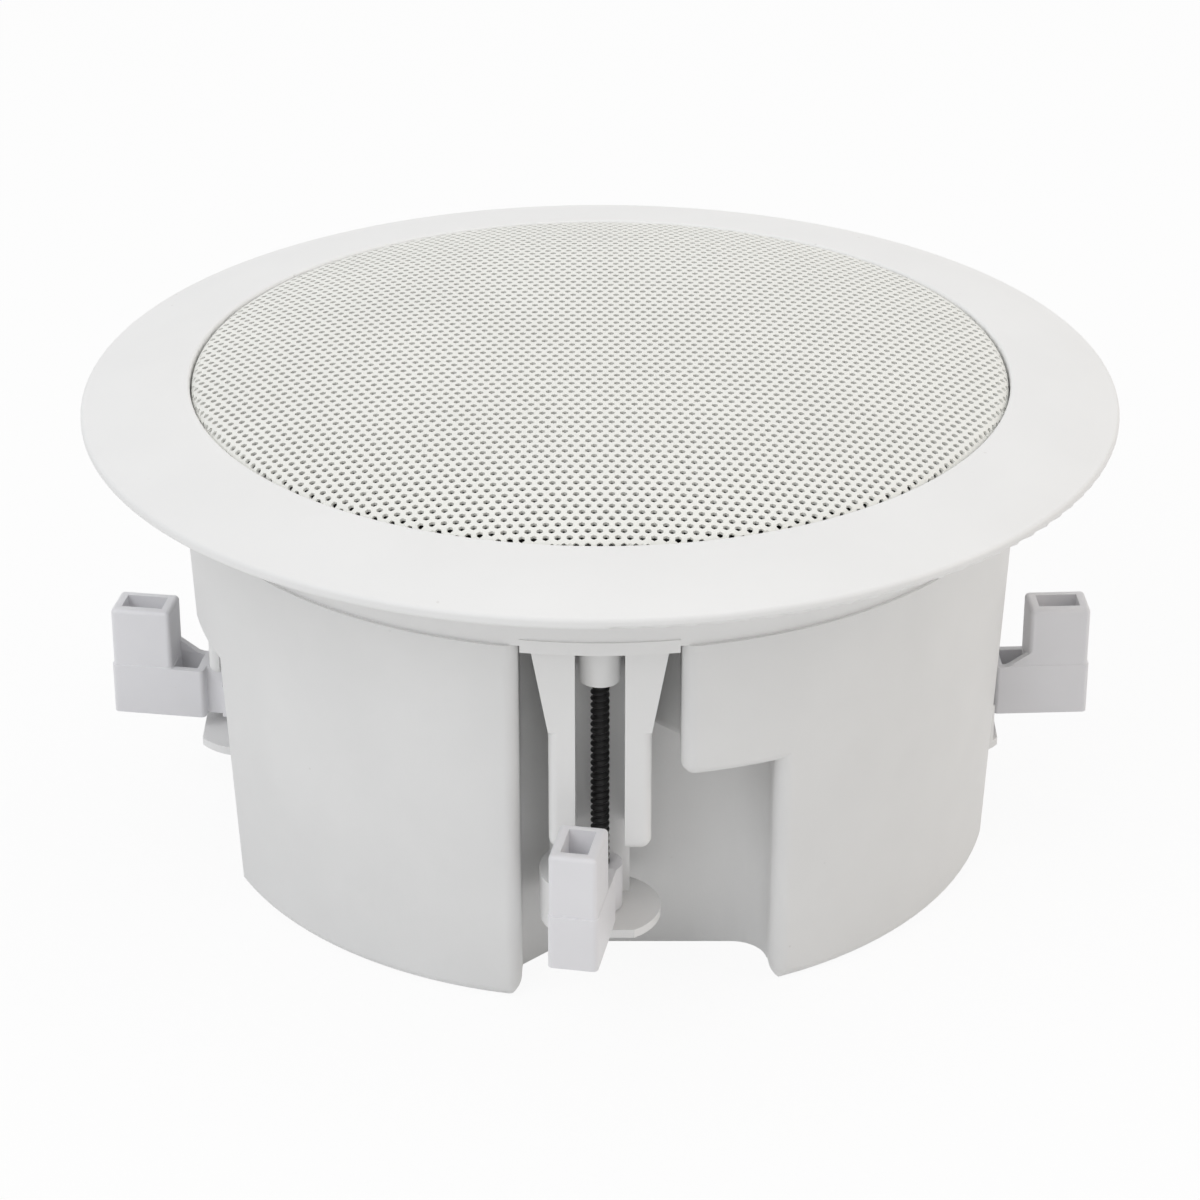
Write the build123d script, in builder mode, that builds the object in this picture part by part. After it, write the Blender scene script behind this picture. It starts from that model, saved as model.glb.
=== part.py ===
from build123d import *
from math import acos, asin, atan, cos, degrees, radians, sin, sqrt, tan
import os

os.makedirs("parts", exist_ok=True)

# Round in-ceiling speaker: a domed grille in a bezel flange, a tapered back can and four clamp dogs.
# The origin is the centre of the can's base, +Z points to the grille and the first clamp faces -Y.
# Lengths are in millimetres and angles in degrees.

# Flange, collar and baffle
flange_diameter = 240.0
flange_underside = 107.0
rim_thickness = 2.4
rim_rounding = 1.1
flange_seat_width = 4.5
bezel_width = 25.2
bezel_height = 7.5
bezel_bulge = 1.0
bezel_edge_rounding = 0.8
bezel_groove_depth = 4.0
baffle_drop = 8.5
baffle_thickness = 3.0
collar_inset = 0.8
wall = 2.5
fit_gap = 0.4

# Grille and the cloth behind it
grille_seat_drop = 5.0
grille_seat_width = 2.5
grille_gap = 0.3
grille_sheet = 0.7
grille_rise = 7.5
grille_dome_power = 3.1
grille_edge_rounding = 2.6
grille_hole_pitch = 15.6
grille_hole_width = 8.6
grille_hole_margin = 9.0
cloth_gap = 0.15
cloth_thickness = 0.5
cloth_edge_gap = 1.0

# Back can
flange_overhang = 26.4
can_draft = 2.64
can_height = 91.0
can_base_rounding = 3.0
notch_half_width = 17.5
notch_depth = 26.6
notch_corner_chamfer = 10.0
notch_rounding = 3.0
bay_reach = 38.0
bay_ceiling = 58.2
bay_corner_rounding = 8.0

# Clamps: screw, guide tower and dog
clamp_count = 4
clamp_axis_inset = 8.9
clamp_screw_radius = 2.1
clamp_screw_tip = 17.0
running_gap = 0.05
pan_head_radius = 4.0
pan_head_height = 2.8
pan_head_rounding = 1.4
guide_boss_radius = 4.5
guide_boss_bottom = 77.6
guide_channel_half = 5.4
guide_half_width = 11.2
guide_reach = 8.4
guide_fold_side = 6.6
guide_rounding = 2.0
guide_bottom = 39.5
guide_flare_half = 15.0
guide_flare_height = 21.0
guide_end_rounding = 2.4
tower_cap_drop = 1.4
tower_cap_rise = 1.6
foot_radius = 13.5
foot_reach = 11.2
foot_top = 20.8
foot_thickness = 2.0
stop_height = 9.6
stop_width = 2.2
stop_gap = 2.6
stop_sweep = 95.0
dog_barrel_radius = 5.0
dog_foot_gap = 0.3
dog_bottom = 23.6
dog_neck_width = 5.0
dog_arm_start = 10.0
dog_arm_height = 12.5
dog_reach = 32.6
dog_width = 11.0
dog_height = 27.5
dog_post_length = 15.0
dog_wall = 1.8
dog_post_wall = 2.4
dog_rounding = 1.2
dog_top_rounding = 1.1
dog_rib = 1.6
dog_rib_drop = 6.0
dog_hub_length = 6.0
dog_hub_width = 8.4
dog_hub_height = 8.0
dog_neck_start = 4.8
dog_gusset_height = 4.5
dog_gusset_run = 5.0

# Where each dog stands: turned clockwise past the radius, and raised on its screw
dog_turns = (10.5, -3.0, 6.0, 9.0)
dog_rises = (0.0, 2.2, 1.0, 0.5)

# Driver
driver_edge_gap = 23.8
driver_hole_gap = 0.9
basket_sheet = 1.2
basket_rim_width = 10.4
basket_step = 6.0
surround_seat_width = 3.6
spider_seat_drop = 33.0
spider_outer_radius = 46.0
spider_seat_radius = 37.0
motor_drop = 45.0
basket_window_count = 6
basket_window_width = 26.0
basket_window_height = 17.0
basket_window_rounding = 4.0
gasket_width = 8.0
gasket_thickness = 2.5
surround_sheet = 0.9
surround_lip = 3.0
surround_roll_radius = 4.5
moving_gap = 0.3
cone_sheet = 0.9
cone_depth = 21.0
coil_radius = 12.7
coil_wall = 0.6
coil_length = 29.0
coil_rise = 2.0
winding_length = 9.0
winding_thickness = 0.35
cap_radius = 19.0
cap_height = 6.0
cap_sheet = 0.6
spider_sheet = 0.6
spider_wave = 1.6
spider_wave_count = 3
magnet_gap = 0.5
plate_thickness = 5.0
plate_radius = 34.0
magnet_radius = 38.0
magnet_hole_radius = 18.0
magnet_thickness = 14.0

# Fasteners and wiring
fixing_turn = 45.0
small_screw_radius = 1.75
small_head_radius = 3.4
small_head_height = 2.2
small_head_rounding = 1.0
fixing_boss_radius = 5.0
can_fixing_inset = 5.1
can_fixing_split = 87.0
can_boss_length = 42.0
can_screw_length = 32.0
driver_fixing_inset = 4.5
driver_boss_length = 9.0
driver_screw_length = 11.0
tag_strip_length = 16.0
tag_strip_width = 11.0
tag_strip_thickness = 1.6
terminal_inset = 35.6
terminal_length = 26.0
terminal_width = 14.0
terminal_height = 11.0
terminal_well = 5.0
terminal_step_depth = 4.5
terminal_screw_radius = 1.6
lead_radius = 1.0
lead_spacing = 8.0
lead_bend = 9.0
grommet_height = 22.0
grommet_hole_radius = 6.2
grommet_bore_radius = 3.5
grommet_flange_radius = 8.5
grommet_flange = 2.0


def can_radius(height: float) -> float:
    """Outer radius of the tapered can and collar at a height."""
    return can_base_radius + height * tan(radians(can_draft))


def notch_outline(margin: float) -> Sketch:
    """A notch seen from above, grown by a margin and run out past the can's side."""
    run_out = collar_radius + 2 * wall
    with BuildSketch() as outline:
        with Locations((0, -run_out)):
            Rectangle(
                2 * (notch_half_width + margin),
                run_out - notch_back + margin,
                align=(Align.CENTER, Align.MIN),
            )
        back_corners = outline.vertices().group_by(Axis.Y)[-1]
        chamfer(back_corners, length=notch_corner_chamfer + margin * (2 - sqrt(2)))
    return outline.sketch


def pocket(margin: float) -> Part:
    """The notch and the bay beside it as a solid, grown by a margin into the can."""
    run_out = collar_radius + 2 * wall
    bay_depth = run_out - notch_back + margin
    with BuildPart() as space:
        with BuildSketch():
            add(notch_outline(margin))
        extrude(amount=can_height)
        with BuildSketch() as bay:
            with Locations((0, -run_out)):
                Rectangle(bay_reach + margin, bay_depth, align=(Align.MIN, Align.MIN))
            inner_corner = bay.vertices().group_by(Axis.Y)[-1].sort_by(Axis.X)[-1]
            fillet(inner_corner, radius=bay_corner_rounding + margin)
        extrude(amount=bay_ceiling + margin)
    return space.part


def dome_height(radius: float) -> float:
    """Height of the grille's outer face at a radius: nearly flat in the middle, steep at the edge."""
    share = radius / grille_radius
    return opening_edge + grille_rise * (1 - share**grille_dome_power)


def dome_points(reach: float, drop: float) -> list[tuple[float, float]]:
    """Points of the dome's section from the middle out to a radius, lowered by a drop."""
    shares = (0.0, 0.35, 0.6, 0.8, 1.0)
    return [(share * reach, dome_height(share * reach) - drop) for share in shares]


def pan_screw(shank: float, length: float, head: float, height: float, rounding: float) -> Part:
    """A pan-head screw along Z with the underside of its head at the origin."""
    with BuildPart() as screw:
        with BuildSketch():
            Circle(head)
        extrude(amount=height)
        fillet(screw.faces().sort_by(Axis.Z)[-1].edges(), radius=rounding)
        with BuildSketch():
            Circle(shank)
        extrude(amount=-length)
    return screw.part


def clamp_corners() -> PolarLocations:
    """The four clamp screws' axes, the first at the front."""
    return PolarLocations(clamp_axis_radius, clamp_count, -90)


def can_fixings() -> PolarLocations:
    """The screws between the frame and the can, midway between the clamps."""
    return PolarLocations(can_fixing_radius, clamp_count, fixing_turn)


def driver_fixings() -> PolarLocations:
    """The screws of the driver's rim."""
    return PolarLocations(driver_fixing_radius, clamp_count, fixing_turn)


# Heights and radii that follow from the sizes above
flange_radius = flange_diameter / 2
opening_radius = flange_radius - bezel_width
can_base_radius = flange_radius - flange_overhang
notch_back = can_base_radius - notch_depth
clamp_axis_radius = can_base_radius - clamp_axis_inset
guide_face = clamp_axis_radius + guide_reach
foot_face = clamp_axis_radius + foot_reach
can_fixing_radius = can_base_radius - can_fixing_inset
terminal_radius = can_base_radius - terminal_inset
driver_rim_radius = opening_radius - driver_edge_gap
driver_fixing_radius = driver_rim_radius - driver_fixing_inset
basket_neck_radius = driver_rim_radius - basket_rim_width
surround_outer_radius = basket_neck_radius - surround_seat_width
opening_edge = flange_underside + bezel_height
rim_top = flange_underside + rim_thickness
baffle_front = opening_edge - baffle_drop
baffle_back = baffle_front - baffle_thickness
grille_seat = opening_edge - grille_seat_drop
grille_radius = opening_radius - grille_gap
collar_radius = can_radius(can_height)
driver_hole_radius = basket_neck_radius + driver_hole_gap
groove_top = flange_underside + bezel_groove_depth
cap_bottom = can_height - tower_cap_drop
clamp_hole_radius = clamp_screw_radius + running_gap
small_hole_radius = small_screw_radius + running_gap
tower_back = clamp_axis_radius - dog_barrel_radius - fit_gap
foot_bottom = foot_top - foot_thickness
tag_radius = spider_seat_radius + fit_gap + tag_strip_width / 2

# Guide tower that hangs from the baffle in a notch: cap, boss, channel with two rails, and foot
foot_align = (Align.CENTER, Align.MIN)
with BuildPart() as tower:
    with BuildSketch(Plane.XY.offset(cap_bottom)):
        add(notch_outline(-fit_gap))
        Circle(collar_radius - fit_gap, mode=Mode.INTERSECT)
    extrude(amount=tower_cap_drop + tower_cap_rise)
    with BuildSketch(Plane.XY.offset(guide_boss_bottom)):
        with Locations((0, -clamp_axis_radius)):
            Circle(guide_boss_radius)
    extrude(amount=baffle_back - guide_boss_bottom)
    # Its back is cut away below the rails on the side to which the dogs fold
    with BuildSketch(Plane.XY.offset(guide_bottom)):
        with Locations((0, -tower_back)):
            Rectangle(2 * guide_half_width, wall, align=(Align.CENTER, Align.MIN))
    extrude(amount=baffle_back - guide_bottom)
    with BuildSketch(Plane.XY.offset(foot_bottom)):
        with Locations((-guide_half_width, -tower_back)):
            Rectangle(guide_half_width + guide_fold_side, wall, align=Align.MIN)
    extrude(amount=guide_bottom - foot_bottom)
    with BuildSketch(Plane.XY.offset(guide_bottom)) as rails:
        with Locations((guide_channel_half, -guide_face)):
            Rectangle(wall, guide_face - tower_back, align=Align.MIN)
            Rectangle(guide_half_width - guide_channel_half, wall, align=Align.MIN)
        mirror(about=Plane.YZ)
    extrude(amount=cap_bottom - guide_bottom)
    rail_ends = tower.edges().filter_by(Axis.Y).filter_by_position(Axis.Z, guide_bottom, guide_bottom)
    outer_ends = rail_ends.group_by(Axis.X)[0] + rail_ends.group_by(Axis.X)[-1]
    fillet(outer_ends, radius=guide_end_rounding)
    rail_sides = tower.edges().filter_by(Axis.Z).filter_by_position(Axis.Y, -guide_face, -guide_face)
    outer_sides = rail_sides.group_by(Axis.X)[0] + rail_sides.group_by(Axis.X)[-1]
    fillet(outer_sides, radius=guide_rounding)
    with BuildSketch(Plane.XZ.offset(guide_face)):
        with BuildLine():
            Polyline(
                (guide_channel_half, cap_bottom),
                (guide_channel_half, cap_bottom - guide_flare_height),
                (guide_half_width, cap_bottom - guide_flare_height),
                (guide_flare_half, cap_bottom),
                close=True,
            )
        make_face()
        mirror(about=Plane.YZ)
    extrude(amount=-wall)
    with BuildSketch(Plane.XY.offset(foot_bottom)):
        with Locations((0, -clamp_axis_radius)):
            Circle(foot_radius)
        with Locations((0, -foot_face)):
            Rectangle(2 * foot_radius, foot_reach + foot_radius, align=foot_align, mode=Mode.INTERSECT)
    extrude(amount=foot_thickness)
    # The stop stands where the arm of a dog comes to rest when it is turned fully out
    stop_radius = foot_radius - stop_width
    arm_corner = atan(dog_width / 2 / dog_arm_start)
    arm_spread = degrees(min(arm_corner, acos(min(1, dog_arm_start / foot_radius))))
    neck_spread = degrees(asin(dog_neck_width / 2 / stop_radius))
    stop_edge = 270 - max(dog_turns) - max(arm_spread, neck_spread) - stop_gap
    with BuildSketch(Plane.XY.offset(foot_top)):
        with BuildLine():
            outside = CenterArc((0, -clamp_axis_radius), foot_radius, stop_edge, -stop_sweep)
            inside = CenterArc((0, -clamp_axis_radius), stop_radius, stop_edge, -stop_sweep)
            Line(outside @ 0, inside @ 0)
            Line(outside @ 1, inside @ 1)
        make_face()
        with Locations((0, -foot_face)):
            Rectangle(2 * foot_radius, foot_reach + foot_radius, align=foot_align, mode=Mode.INTERSECT)
    extrude(amount=stop_height)

# Front frame: flange, collar and baffle in one turned section, with the towers and screw bosses
with BuildPart() as front_frame:
    with BuildSketch(Plane.XZ) as section:
        with BuildLine():
            crown_radius = (opening_radius + flange_radius) / 2
            crown_height = (opening_edge + rim_top) / 2 + bezel_bulge
            crown = (crown_radius, crown_height)
            ThreePointArc((opening_radius, opening_edge), crown, (flange_radius, rim_top))
            Polyline(
                (flange_radius, rim_top),
                (flange_radius, flange_underside),
                (flange_radius - flange_seat_width, flange_underside),
                (can_radius(groove_top) - collar_inset, groove_top),
                (collar_radius - collar_inset, can_height),
                (collar_radius - wall, can_height),
                (collar_radius - wall, baffle_back),
                (driver_hole_radius, baffle_back),
                (driver_hole_radius, baffle_front),
                (opening_radius - grille_seat_width, baffle_front),
                (opening_radius - grille_seat_width, grille_seat),
                (opening_radius, grille_seat),
                (opening_radius, opening_edge),
            )
        make_face()
        fillet(section.vertices().group_by(Axis.X)[-1], radius=rim_rounding)
        fillet(section.vertices().group_by(Axis.Y)[-1], radius=bezel_edge_rounding)
    revolve(axis=Axis.Z)
    with PolarLocations(0, clamp_count):
        add(tower.part)
    with BuildSketch(Plane.XY.offset(can_fixing_split)):
        with can_fixings():
            Circle(fixing_boss_radius)
    extrude(amount=baffle_back - can_fixing_split)
    with BuildSketch(Plane.XY.offset(baffle_back - driver_boss_length)):
        with driver_fixings():
            Circle(fixing_boss_radius)
    extrude(amount=driver_boss_length)
    with Locations((0, 0, baffle_front)):
        with clamp_corners():
            Hole(clamp_hole_radius)
        with can_fixings():
            Hole(small_hole_radius)
        with driver_fixings():
            Hole(small_hole_radius)
front_frame.part.label = "front_frame"
export_step(front_frame.part, "parts/front_frame.step")

# Grille: a domed sheet with a turned-down edge, and its holes as one coarse pattern of the same open area
row_count = 2 * int(grille_radius / grille_hole_pitch) + 1
grille_holes = [
    spot
    for spot in HexLocations(grille_hole_pitch / 2, row_count, row_count)
    if spot.position.length < grille_radius - grille_hole_margin
]
with BuildPart() as grille:
    with BuildSketch(Plane.XZ) as section:
        with BuildLine():
            lip = grille_radius - grille_sheet
            dome_ends = ((1, 0), (1, -grille_rise * grille_dome_power / grille_radius))
            Spline(*dome_points(grille_radius, 0), tangents=dome_ends)
            Spline(*dome_points(lip, grille_sheet), tangents=dome_ends)
            Line((0, dome_height(0)), (0, dome_height(0) - grille_sheet))
            Polyline(
                (grille_radius, dome_height(grille_radius)),
                (grille_radius, grille_seat),
                (lip, grille_seat),
                (lip, dome_height(lip) - grille_sheet),
            )
        make_face()
        rim_corner = section.vertices().group_by(Axis.X)[-1].sort_by(Axis.Y)[-1]
        fillet(rim_corner, radius=grille_edge_rounding)
    revolve(axis=Axis.Z)
    with BuildSketch(Plane.XY.offset(grille_seat)):
        with Locations(*grille_holes):
            RegularPolygon(grille_hole_width / 2, 6, major_radius=False)
    extrude(amount=grille_seat_drop + 2 * grille_rise, mode=Mode.SUBTRACT)
grille.part.label = "grille"
export_step(grille.part, "parts/grille.step")

# Dust cloth glued behind the grille
with BuildPart() as grille_cloth:
    with BuildSketch(Plane.XZ):
        with BuildLine():
            cloth_reach = grille_radius - grille_sheet - cloth_edge_gap
            cloth_top = grille_sheet + cloth_gap
            Spline(*dome_points(cloth_reach, cloth_top))
            Spline(*dome_points(cloth_reach, cloth_top + cloth_thickness))
            for radius in (0, cloth_reach):
                edge = dome_height(radius) - cloth_top
                Line((radius, edge), (radius, edge - cloth_thickness))
        make_face()
    revolve(axis=Axis.Z)
grille_cloth.part.label = "grille_cloth"
export_step(grille_cloth.part, "parts/grille_cloth.step")

# Hollow of the can: a tapered plug less the walls round each notch and bay
with BuildPart() as hollow:
    with BuildSketch(Plane.XZ):
        Polygon(
            (0, wall),
            (can_radius(wall) - wall, wall),
            (collar_radius - wall, can_height),
            (0, can_height),
            align=None,
        )
    revolve(axis=Axis.Z)
    with PolarLocations(0, clamp_count):
        add(pocket(wall), mode=Mode.SUBTRACT)

# Back can: tapered moulding with a notch and a bay at each clamp, inner bosses and the cable hole
with BuildPart() as back_can:
    with BuildSketch(Plane.XZ):
        Polygon((0, 0), (can_base_radius, 0), (collar_radius, can_height), (0, can_height), align=None)
    revolve(axis=Axis.Z)
    with PolarLocations(0, clamp_count):
        add(pocket(0), mode=Mode.SUBTRACT)
    side = back_can.faces().filter_by(GeomType.CONE)
    mouth_edges = side.edges().filter_by(lambda edge: edge.bounding_box().size.Z > bay_ceiling / 2)
    ceiling_edges = side.edges().filter_by_position(Axis.Z, bay_ceiling - running_gap, bay_ceiling + running_gap)
    upper_walls = back_can.faces().filter_by(lambda face: face.bounding_box().min.Z > bay_ceiling - running_gap)
    inner_walls = upper_walls.filter_by(GeomType.PLANE).filter_by(lambda face: face.bounding_box().size.Z > wall)
    lip_edges = inner_walls.edges().filter_by_position(Axis.Z, bay_ceiling - running_gap, bay_ceiling + running_gap)
    fillet(mouth_edges + ceiling_edges + lip_edges, radius=notch_rounding)
    with BuildSketch(Plane.XZ):
        base_flat = (can_base_radius - can_base_rounding, 0)
        side_start = (can_radius(can_base_rounding), can_base_rounding)
        with BuildLine():
            TangentArc(base_flat, side_start, tangent=(1, 0))
            Polyline(side_start, (collar_radius, can_base_rounding), (collar_radius, 0), base_flat)
        make_face()
    revolve(axis=Axis.Z, mode=Mode.SUBTRACT)
    add(hollow.part, mode=Mode.SUBTRACT)
    boss_bottom = can_fixing_split - can_boss_length
    rib_length = can_radius(boss_bottom) - running_gap - can_fixing_radius
    with BuildSketch(Plane.XY.offset(boss_bottom)):
        with can_fixings():
            Circle(fixing_boss_radius)
            Rectangle(rib_length, wall, align=(Align.MIN, Align.CENTER))
    extrude(amount=can_boss_length)
    with Locations((0, 0, can_fixing_split)):
        with can_fixings():
            Hole(small_hole_radius, depth=can_boss_length - wall)
    cable_plane = Plane((0, 0, grommet_height), x_dir=(0, 0, 1), z_dir=(1, 1, 0))
    with BuildSketch(cable_plane.offset(can_base_radius - 3 * wall)):
        Circle(grommet_hole_radius)
    extrude(amount=6 * wall, mode=Mode.SUBTRACT)
back_can.part.label = "back_can"
export_step(back_can.part, "parts/back_can.step")

# Clamp screws, with their heads on the baffle's front under the grille
for number, corner in enumerate(clamp_corners(), start=1):
    with BuildPart() as clamp_screw:
        with Locations((corner.position.X, corner.position.Y, baffle_front)):
            add(
                pan_screw(
                    clamp_screw_radius,
                    baffle_front - clamp_screw_tip,
                    pan_head_radius,
                    pan_head_height,
                    pan_head_rounding,
                )
            )
    clamp_screw.part.label = f"clamp_screw_{number}"
    export_step(clamp_screw.part, f"parts/clamp_screw_{number}.step")

# Clamp dogs: a barrel on the screw, a narrow neck between the rails, an arm and an open-topped post
for number, corner in enumerate(clamp_corners(), start=1):
    heading = radians(corner.orientation.Z - dog_turns[number - 1])
    base = Plane(
        (corner.position.X, corner.position.Y, dog_bottom + dog_rises[number - 1]),
        x_dir=(cos(heading), sin(heading), 0),
        z_dir=(0, 0, 1),
    )
    post_start = dog_reach - dog_post_length
    with BuildPart() as clamp_dog:
        with BuildSketch(base):
            with Locations((post_start, 0)):
                Rectangle(dog_post_length, dog_width, align=(Align.MIN, Align.CENTER))
        extrude(amount=dog_height)
        with BuildSketch(base):
            with Locations((dog_arm_start, 0)):
                Rectangle(post_start - dog_arm_start, dog_width, align=(Align.MIN, Align.CENTER))
        extrude(amount=dog_arm_height)
        fillet(clamp_dog.edges().filter_by(Axis.Z), radius=dog_rounding)
        fillet(clamp_dog.faces().sort_by(Axis.Z)[-1].edges(), radius=dog_top_rounding)
        with BuildSketch(base.offset(dog_wall)):
            with Locations((dog_arm_start + dog_wall, 0)):
                Rectangle(
                    post_start - dog_arm_start - dog_wall,
                    dog_width - 2 * dog_wall,
                    align=(Align.MIN, Align.CENTER),
                )
            with Locations((post_start + dog_post_wall, 0)):
                Rectangle(
                    dog_post_length - 2 * dog_post_wall,
                    dog_width - 2 * dog_post_wall,
                    align=(Align.MIN, Align.CENTER),
                )
        extrude(amount=dog_height, mode=Mode.SUBTRACT)
        with BuildSketch(base):
            with Locations((post_start + dog_post_length / 2, 0)):
                Rectangle(dog_rib, dog_width - dog_wall)
        extrude(amount=dog_height - dog_rib_drop)
        side_wall = Plane(base.origin, x_dir=base.x_dir, z_dir=-base.y_dir).offset(dog_width / 2)
        gusset_start = post_start - dog_gusset_run
        with BuildSketch(side_wall):
            Polygon(
                (gusset_start, dog_arm_height - dog_wall),
                (post_start + dog_wall, dog_arm_height - dog_wall),
                (post_start + dog_wall, dog_arm_height + dog_gusset_height),
                (gusset_start, dog_arm_height),
                align=None,
            )
        extrude(amount=-dog_wall)
        with BuildSketch(base):
            with Locations((dog_neck_start, 0)):
                Rectangle(
                    dog_arm_start + dog_wall / 2 - dog_neck_start,
                    dog_neck_width,
                    align=(Align.MIN, Align.CENTER),
                )
        extrude(amount=dog_arm_height)
        with BuildSketch(base):
            Rectangle(dog_hub_length, dog_hub_width, align=(Align.MIN, Align.CENTER))
            Circle(dog_barrel_radius)
        extrude(amount=dog_hub_height)
        with BuildSketch(base.offset(foot_top + dog_foot_gap - dog_bottom)):
            Circle(dog_barrel_radius)
        extrude(amount=dog_bottom - foot_top - dog_foot_gap)
        with Locations(base.offset(dog_hub_height)):
            Hole(clamp_hole_radius, depth=dog_hub_height + dog_bottom - foot_top)
    clamp_dog.part.label = f"clamp_dog_{number}"
    export_step(clamp_dog.part, f"parts/clamp_dog_{number}.step")

# Heights inside the driver
rim_front = baffle_front + basket_sheet
surround_seat = rim_front - basket_step
spider_seat = rim_front - spider_seat_drop
motor_front = rim_front - motor_drop
coil_outer_radius = coil_radius + coil_wall
cone_edge_radius = surround_outer_radius - 2 * surround_roll_radius - surround_lip
cone_edge = surround_seat - moving_gap
cone_neck = cone_edge - cone_depth
coil_top = cone_neck + cone_sheet + coil_rise
gap_radius = coil_outer_radius + winding_thickness + magnet_gap
pole_radius = coil_radius - magnet_gap

# Driver basket: pressed sheet with a rim, a step for the surround, a seat for the spider and windows
with BuildPart() as driver_basket:
    with BuildSketch(Plane.XZ):
        with BuildLine():
            Polyline(
                (driver_rim_radius, baffle_front),
                (basket_neck_radius, baffle_front),
                (basket_neck_radius, surround_seat - basket_sheet),
                (surround_outer_radius + basket_sheet, surround_seat - basket_sheet),
                (spider_outer_radius + basket_sheet, spider_seat - basket_sheet),
                (spider_seat_radius, spider_seat - basket_sheet),
                (plate_radius, motor_front),
                (gap_radius, motor_front),
            )
            offset(amount=basket_sheet, side=Side.RIGHT, kind=Kind.INTERSECTION)
        make_face()
    revolve(axis=Axis.Z)
    window_height = (surround_seat + spider_seat - basket_sheet) / 2
    window_planes = [
        Plane((0, 0, window_height), x_dir=(-sin(turn), cos(turn), 0), z_dir=(cos(turn), sin(turn), 0))
        for turn in (radians(360 * step / basket_window_count) for step in range(basket_window_count))
    ]
    with BuildSketch(*window_planes):
        RectangleRounded(basket_window_width, basket_window_height, basket_window_rounding)
    extrude(amount=driver_rim_radius, mode=Mode.SUBTRACT)
    with Locations((0, 0, rim_front)):
        with driver_fixings():
            Hole(small_hole_radius, depth=2 * basket_sheet)
driver_basket.part.label = "driver_basket"
export_step(driver_basket.part, "parts/driver_basket.step")

# Gasket on the basket's rim, inside the screws
with BuildPart() as driver_gasket:
    with BuildSketch(Plane.XY.offset(rim_front)):
        Circle(driver_fixing_radius - small_head_radius - fit_gap)
        Circle(driver_fixing_radius - small_head_radius - fit_gap - gasket_width / 2, mode=Mode.SUBTRACT)
    extrude(amount=gasket_thickness)
driver_gasket.part.label = "driver_gasket"
export_step(driver_gasket.part, "parts/driver_gasket.step")

# Surround: half-roll edge between the basket's step and the cone
with BuildPart() as surround:
    with BuildSketch(Plane.XZ):
        roll_outside = surround_outer_radius
        roll_inside = surround_outer_radius - 2 * surround_roll_radius
        top = surround_seat + surround_sheet
        lip_end = roll_inside - surround_lip
        seat_end = basket_neck_radius - basket_sheet - fit_gap
        with BuildLine():
            crest = roll_inside + surround_roll_radius
            crest_height = top + surround_roll_radius
            ThreePointArc((roll_inside, top), (crest, crest_height), (roll_outside, top))
            ThreePointArc(
                (roll_inside + surround_sheet, surround_seat),
                (crest, crest_height - surround_sheet),
                (roll_outside - surround_sheet, surround_seat),
            )
            Polyline(
                (roll_inside, top),
                (lip_end, top),
                (lip_end, surround_seat),
                (roll_inside + surround_sheet, surround_seat),
            )
            Polyline(
                (roll_outside, top),
                (seat_end, top),
                (seat_end, surround_seat),
                (roll_outside - surround_sheet, surround_seat),
            )
        make_face()
    revolve(axis=Axis.Z)
surround.part.label = "surround"
export_step(surround.part, "parts/surround.step")

# Cone, from the voice coil up to the surround's lip
with BuildPart() as cone:
    with BuildSketch(Plane.XZ):
        neck = coil_outer_radius + running_gap
        rim_end = cone_edge_radius + surround_lip
        Polygon(
            (neck, cone_neck),
            (cone_edge_radius, cone_edge - cone_sheet),
            (rim_end, cone_edge - cone_sheet),
            (rim_end, cone_edge),
            (cone_edge_radius, cone_edge),
            (neck, cone_neck + cone_sheet),
            align=None,
        )
    revolve(axis=Axis.Z)
cone.part.label = "cone"
export_step(cone.part, "parts/cone.step")

# Dust cap, a shallow dome on the cone
cone_slope = (cone_depth - cone_sheet) / (cone_edge_radius - coil_outer_radius - running_gap)
cap_edge = cone_neck + cone_sheet + (cap_radius - coil_outer_radius) * cone_slope + running_gap
with BuildPart() as dust_cap:
    with BuildSketch(Plane.XZ):
        cap_curve = (cap_radius**2 + cap_height**2) / (2 * cap_height)
        inner_radius = cap_radius - cap_sheet
        inner_drop = cap_curve - sqrt(cap_curve**2 - inner_radius**2)
        with BuildLine():
            middle = cap_radius / 2
            middle_height = cap_edge + cap_height - cap_curve + sqrt(cap_curve**2 - middle**2)
            outer_mid = (middle, middle_height)
            inner_mid = (middle, middle_height - cap_sheet)
            ThreePointArc((0, cap_edge + cap_height), outer_mid, (cap_radius, cap_edge))
            ThreePointArc(
                (0, cap_edge + cap_height - cap_sheet),
                inner_mid,
                (inner_radius, cap_edge + cap_height - cap_sheet - inner_drop),
            )
            Line((0, cap_edge + cap_height), (0, cap_edge + cap_height - cap_sheet))
            Line((cap_radius, cap_edge), (inner_radius, cap_edge + cap_height - cap_sheet - inner_drop))
        make_face()
    revolve(axis=Axis.Z)
dust_cap.part.label = "dust_cap"
export_step(dust_cap.part, "parts/dust_cap.step")

# Voice coil: the former with its winding at the lower end
with BuildPart() as voice_coil:
    with BuildSketch(Plane.XY.offset(coil_top - coil_length)):
        Circle(coil_outer_radius)
        Circle(coil_radius, mode=Mode.SUBTRACT)
    extrude(amount=coil_length)
    with BuildSketch(Plane.XY.offset(coil_top - coil_length)):
        Circle(coil_outer_radius + winding_thickness)
        Circle(coil_radius, mode=Mode.SUBTRACT)
    extrude(amount=winding_length)
voice_coil.part.label = "voice_coil"
export_step(voice_coil.part, "parts/voice_coil.step")

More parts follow.
